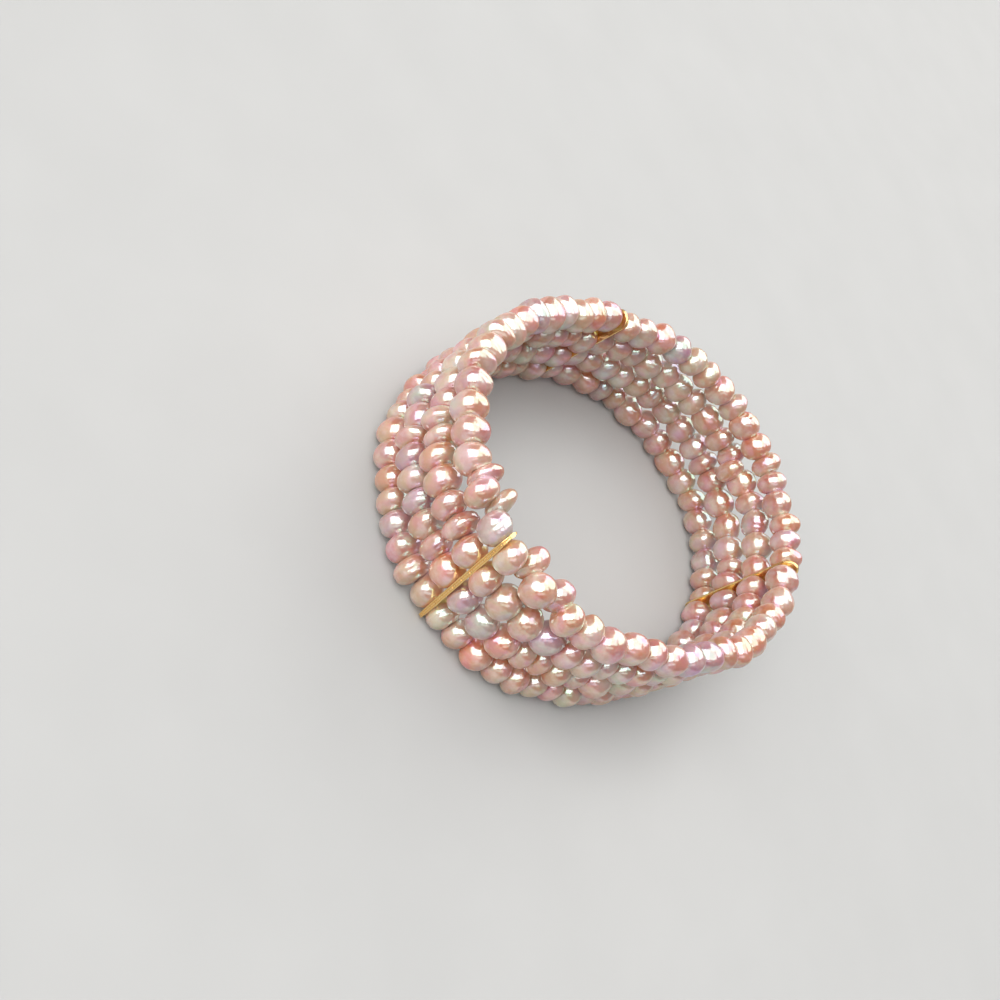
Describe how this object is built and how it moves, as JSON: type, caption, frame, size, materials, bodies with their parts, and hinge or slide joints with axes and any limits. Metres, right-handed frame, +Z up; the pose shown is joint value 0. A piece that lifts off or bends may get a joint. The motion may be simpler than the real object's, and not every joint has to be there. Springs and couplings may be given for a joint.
{
  "type": "pearl bracelet",
  "caption": "Stretch bracelet of four rows of small peach and pink freshwater button pearls, held side by side by slim gold spacer bars.",
  "frame": {"origin": "under the middle of the loop, on the surface that the bracelet lies on", "axes": "+Z up, along the wrist opening, from the band's lower edge to its upper edge; +X along the loop's long way; +Y along its short way"},
  "size_m": [0.0713, 0.0573, 0.0215],
  "materials": {
    "peach_nacre": "glossy nacre, peach to pink",
    "gold": "polished, gold plated"
  },
  "bodies": {
    "root": {"strand_1": "peach_nacre", "strand_2": "peach_nacre", "strand_3": "peach_nacre", "strand_4": "peach_nacre", "spacer_bar_1": "gold", "spacer_bar_2": "gold", "spacer_bar_3": "gold"}
  },
  "joints": []
}
